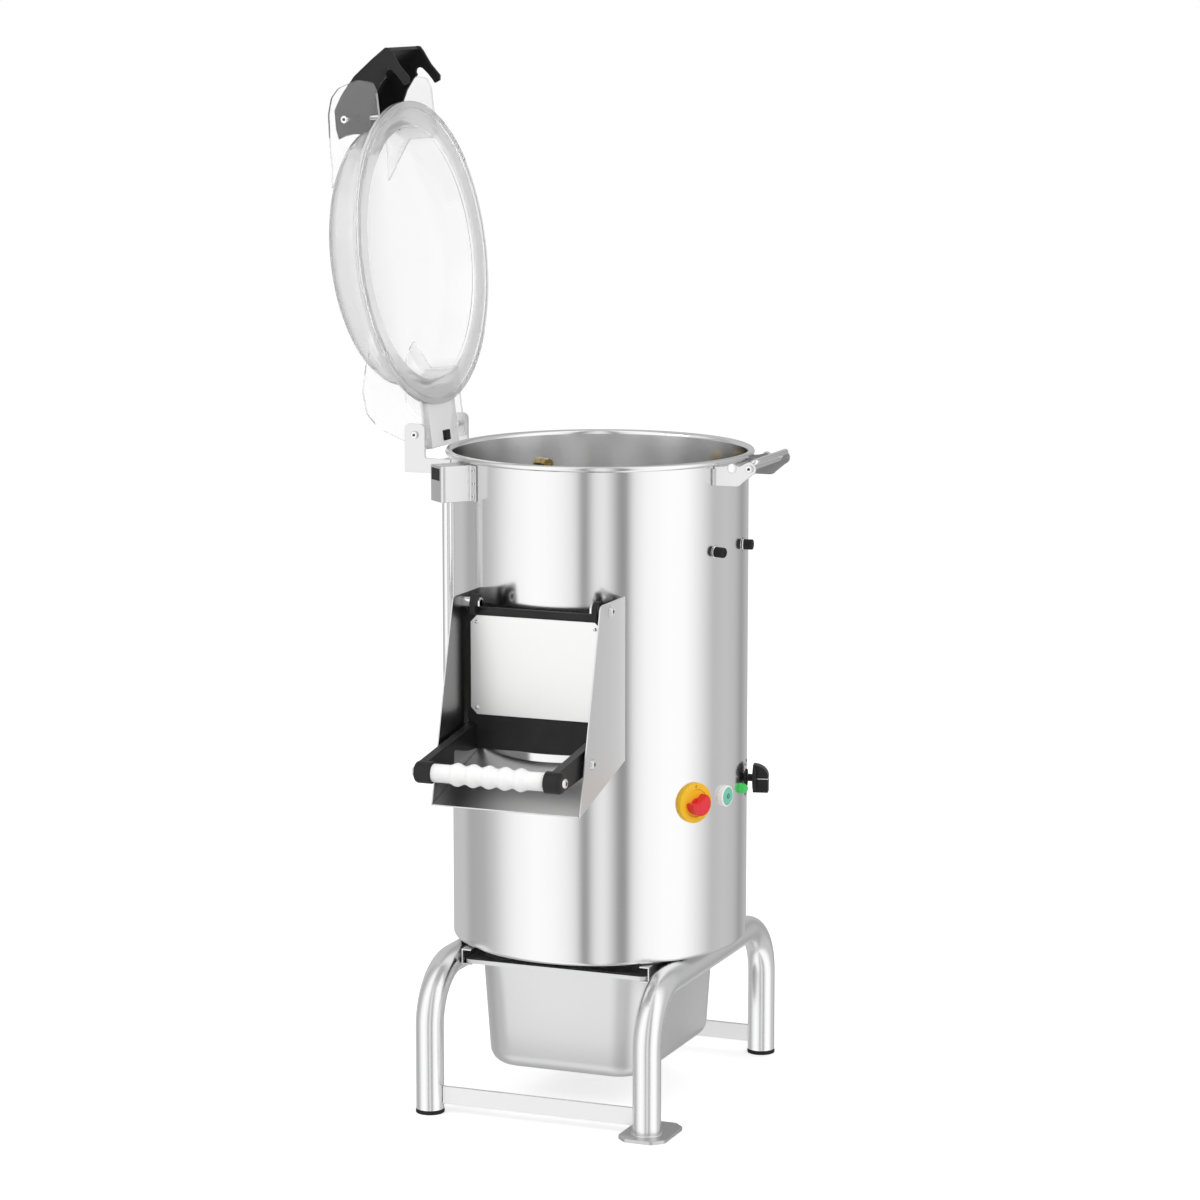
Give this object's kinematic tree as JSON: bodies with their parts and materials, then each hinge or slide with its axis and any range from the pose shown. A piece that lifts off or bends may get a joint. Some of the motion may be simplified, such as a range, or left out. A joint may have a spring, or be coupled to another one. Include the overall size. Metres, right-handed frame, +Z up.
{
  "type": "electric potato peeler",
  "caption": "Floor-standing potato peeler: steel drum on a tube trestle with a waste pan, clear hinged lid, front chute with a flap door, and side controls.",
  "frame": {"origin": "middle of the bounding box's floor area, on the floor", "axes": "+Z up, -Y to the front with the chute and door, +X to the side with the controls and the lid's latch"},
  "size_m": [0.6126, 0.6328, 1.4108],
  "materials": {
    "brushed_steel": "satin, brushed upright",
    "polished_steel": "polished",
    "sheet_steel": "satin",
    "plate_steel": "light satin",
    "black_plastic": "satin moulded",
    "white_plastic": "smooth",
    "yellow_plastic": "smooth",
    "red_plastic": "smooth",
    "green_plastic": "smooth",
    "lamp_green": "clear tinted",
    "clear_plastic": "clear, polished",
    "brass": "turned",
    "rubber": "matt",
    "cast_iron": "painted grey",
    "abrasive": "coarse grit"
  },
  "bodies": {
    "base": {"drum_shell": "brushed_steel", "base_plate": "sheet_steel", "chamber_floor": "sheet_steel", "waste_spout": "sheet_steel", "bearing_housing": "cast_iron", "shaft_seal": "rubber", "motor": "cast_iron", "motor_bracket": "sheet_steel", "drive_belt": "rubber", "frame_arch_left": "polished_steel", "frame_arch_right": "polished_steel", "foot_cap_front_left": "rubber", "foot_cap_back_left": "rubber", "foot_cap_back_right": "rubber", "anchor_plate": "polished_steel", "floor_rail_front": "polished_steel", "floor_rail_back": "polished_steel", "pan_runner_left": "sheet_steel", "pan_runner_right": "sheet_steel", "chute_side_left": "brushed_steel", "chute_side_right": "brushed_steel", "chute_floor": "brushed_steel", "door_pivot_bolt_left": "polished_steel", "door_pivot_bolt_right": "polished_steel", "door_stop_pin_left": "polished_steel", "door_stop_pin_right": "polished_steel", "latch_bracket": "brushed_steel", "catch_bail": "polished_steel", "hinge_bracket": "brushed_steel", "hinge_pin_front": "polished_steel", "hinge_pin_back": "polished_steel", "switch_housing": "brushed_steel", "switch_conduit": "polished_steel", "spray_nozzle": "brass", "water_inlet": "brass", "switch_bezel": "yellow_plastic", "button_bezel": "white_plastic", "run_lamp": "lamp_green", "timer_dial": "black_plastic", "wall_stud_front": "rubber", "wall_stud_back": "rubber"},
    "turntable": {"drive_shaft": "polished_steel", "driven_pulley": "cast_iron", "abrasive_disc": "abrasive", "disc_nut": "polished_steel"},
    "motor_rotor": {"motor_shaft": "polished_steel", "motor_pulley": "cast_iron"},
    "pan": {"waste_pan": "sheet_steel"},
    "door": {"door_panel": "black_plastic", "door_face_plate": "plate_steel", "door_grip": "white_plastic", "grip_rod": "polished_steel"},
    "lid": {"lid_dome": "clear_plastic", "lid_seal": "clear_plastic", "latch_pivot_pin": "polished_steel"},
    "lever": {"latch_lever": "black_plastic"},
    "main_knob": {"switch_knob": "red_plastic"},
    "button": {"start_button": "green_plastic"},
    "timer": {"timer_knob": "black_plastic"}
  },
  "joints": [
    {"name": "lid_hinge", "type": "hinge", "parent": "base", "child": "lid", "pos_m": [-0.18171, 0.075, 0.894], "axis": [0, 1, 0], "range_deg": [0, 97]},
    {"name": "latch_pivot", "type": "hinge", "parent": "lid", "child": "lever", "pos_m": [-0.27282, 0.075, 1.31604], "axis": [0, -1, 0], "range_deg": [0, 30]},
    {"name": "door_hinge", "type": "hinge", "parent": "base", "child": "door", "pos_m": [0.05829, -0.147, 0.697], "axis": [-1, 0, 0], "range_deg": [0, 75]},
    {"name": "turntable_spin", "type": "hinge", "parent": "base", "child": "turntable", "pos_m": [0.05829, 0.075, 0.46], "axis": [0, 0, 1], "continuous": true},
    {"name": "motor_spin", "type": "hinge", "parent": "base", "child": "motor_rotor", "pos_m": [-0.05371, 0.075, 0.253], "axis": [0, 0, 1], "continuous": true},
    {"name": "pan_slide", "type": "slide", "parent": "base", "child": "pan", "axis": [0, -1, 0], "range_m": [0, 0.26]},
    {"name": "main_switch_turn", "type": "hinge", "parent": "base", "child": "main_knob", "pos_m": [0.23202, -0.02409, 0.426], "axis": [0.8686, -0.4955, 0], "range_deg": [0, 90]},
    {"name": "start_press", "type": "slide", "parent": "base", "child": "button", "axis": [-0.977, 0.213, 0], "range_m": [0, 0.003], "stiffness_N_per_m": 300},
    {"name": "timer_turn", "type": "hinge", "parent": "base", "child": "timer", "pos_m": [0.25235, 0.12338, 0.433], "axis": [0.9703, 0.2419, 0], "range_deg": [0, 300]}
  ],
  "couplings": [
    {"joint": "motor_spin", "follows": "turntable_spin", "ratio": 2.6522}
  ]
}
